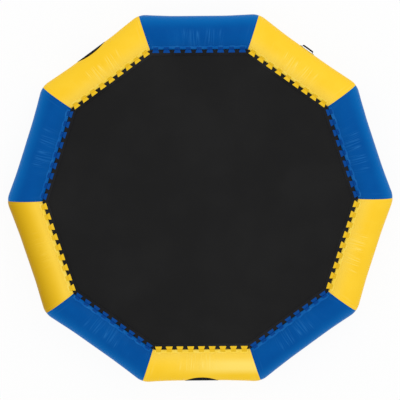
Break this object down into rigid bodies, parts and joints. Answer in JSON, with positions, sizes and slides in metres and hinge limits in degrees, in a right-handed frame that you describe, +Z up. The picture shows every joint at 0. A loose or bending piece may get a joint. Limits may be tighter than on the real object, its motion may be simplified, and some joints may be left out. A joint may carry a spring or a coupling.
{
  "type": "water bouncer",
  "caption": "Ten-sided inflatable tube ring in yellow and blue with a black bounce mat laced inside it, grab handle, D-rings and inflation valve.",
  "frame": {"origin": "centre of the bounding box, on the surface that the tube rests on", "axes": "+Z up, +X towards one seam of the ten-sided ring, Y across two opposite sides"},
  "size_m": [4.572, 4.3804, 0.4708],
  "materials": {
    "pvc_yellow": "coated PVC fabric, yellow, satin gloss",
    "pvc_blue": "coated PVC fabric, blue, satin gloss",
    "webbing_black": "woven polyester webbing",
    "mat_black": "woven polypropylene mesh",
    "rope_black": "braided cord",
    "pad_black": "moulded flexible patch material, matt",
    "stainless": "polished stainless wire",
    "valve_plastic": "moulded nylon",
    "gasket_rubber": "silicone seal"
  },
  "bodies": {
    "ring": {"accessory_pad_1": "pad_black", "accessory_pad_2": "pad_black", "anchor_patch_1": "pvc_blue", "anchor_patch_2": "pvc_blue", "anchor_patch_3": "pvc_blue", "anchor_patch_4": "pvc_blue", "anchor_patch_5": "pvc_blue", "handle_patch": "pad_black", "handle_sleeve": "pad_black", "handle_strap": "webbing_black", "lacing_hem_1": "pvc_blue", "lacing_hem_10": "pvc_yellow", "lacing_hem_2": "pvc_yellow", "lacing_hem_3": "pvc_blue", "lacing_hem_4": "pvc_yellow", "lacing_hem_5": "pvc_blue", "lacing_hem_6": "pvc_yellow", "lacing_hem_7": "pvc_blue", "lacing_hem_8": "pvc_yellow", "lacing_hem_9": "pvc_blue", "lacing_rope": "rope_black", "mat_loop_band_1": "webbing_black", "mat_loop_band_10": "webbing_black", "mat_loop_band_2": "webbing_black", "mat_loop_band_3": "webbing_black", "mat_loop_band_4": "webbing_black", "mat_loop_band_5": "webbing_black", "mat_loop_band_6": "webbing_black", "mat_loop_band_7": "webbing_black", "mat_loop_band_8": "webbing_black", "mat_loop_band_9": "webbing_black", "tube_blue_1": "pvc_blue", "tube_blue_2": "pvc_blue", "tube_blue_3": "pvc_blue", "tube_blue_4": "pvc_blue", "tube_blue_5": "pvc_blue", "tube_yellow_1": "pvc_yellow", "tube_yellow_2": "pvc_yellow", "tube_yellow_3": "pvc_yellow", "tube_yellow_4": "pvc_yellow", "tube_yellow_5": "pvc_yellow", "valve_body": "valve_plastic", "valve_spring": "stainless"},
    "bounce_mat": {"bounce_mat": "mat_black"},
    "valve_plunger": {"valve_poppet": "valve_plastic"},
    "valve_seal": {"valve_gasket": "gasket_rubber"},
    "valve_lid": {"valve_cap": "valve_plastic"},
    "anchor_1": {"anchor_ring_1": "stainless"},
    "anchor_2": {"anchor_ring_2": "stainless"},
    "anchor_3": {"anchor_ring_3": "stainless"},
    "anchor_4": {"anchor_ring_4": "stainless"},
    "anchor_5": {"anchor_ring_5": "stainless"},
    "accessory_1": {"accessory_ring_1": "stainless"},
    "accessory_2": {"accessory_ring_2": "stainless"}
  },
  "joints": [
    {"name": "mat_bounce", "type": "slide", "parent": "ring", "child": "bounce_mat", "axis": [0, 0, 1], "range_m": [-0.25, 0.03], "stiffness_N_per_m": 4000, "springref_m": 0.03},
    {"name": "anchor_swing_1", "type": "hinge", "parent": "ring", "child": "anchor_1", "pos_m": [1.69508, 0.55076, 0.06293], "axis": [-0.309, 0.9511, 0], "range_deg": [-40, 130]},
    {"name": "anchor_swing_2", "type": "hinge", "parent": "ring", "child": "anchor_2", "pos_m": [0, 1.78231, 0.06293], "axis": [-1, 0, 0], "range_deg": [-40, 130]},
    {"name": "anchor_swing_3", "type": "hinge", "parent": "ring", "child": "anchor_3", "pos_m": [-1.69508, 0.55076, 0.06293], "axis": [-0.309, -0.9511, 0], "range_deg": [-40, 130]},
    {"name": "anchor_swing_4", "type": "hinge", "parent": "ring", "child": "anchor_4", "pos_m": [-1.04762, -1.44192, 0.06293], "axis": [0.809, -0.5878, 0], "range_deg": [-40, 130]},
    {"name": "anchor_swing_5", "type": "hinge", "parent": "ring", "child": "anchor_5", "pos_m": [1.04761, -1.44192, 0.06293], "axis": [0.809, 0.5878, 0], "range_deg": [-40, 130]},
    {"name": "accessory_swing_1", "type": "hinge", "parent": "ring", "child": "accessory_1", "pos_m": [-1.27036, 1.7485, 0.14256], "axis": [0.809, 0.5878, 0], "range_deg": [-18, 150]},
    {"name": "accessory_swing_2", "type": "hinge", "parent": "ring", "child": "accessory_2", "pos_m": [0, -2.16127, 0.14256], "axis": [-1, 0, 0], "range_deg": [-18, 150]},
    {"name": "valve_press", "type": "slide", "parent": "ring", "child": "valve_plunger", "axis": [-0.7186, 0.2335, 0.6551], "range_m": [0, 0.005], "stiffness_N_per_m": 300, "springref_m": -0.004},
    {"name": "valve_cap_lift", "type": "slide", "parent": "ring", "child": "valve_seal", "axis": [0.7186, -0.2335, -0.6551], "range_m": [0, 0.008]},
    {"name": "valve_cap_turn", "type": "hinge", "parent": "valve_seal", "child": "valve_lid", "pos_m": [2.05281, -0.50928, 0.06894], "axis": [0.7186, -0.2335, -0.6551], "range_deg": [0, 720]}
  ],
  "couplings": [
    {"joint": "valve_cap_lift", "follows": "valve_cap_turn", "m_per_rad": 0.00063662}
  ]
}
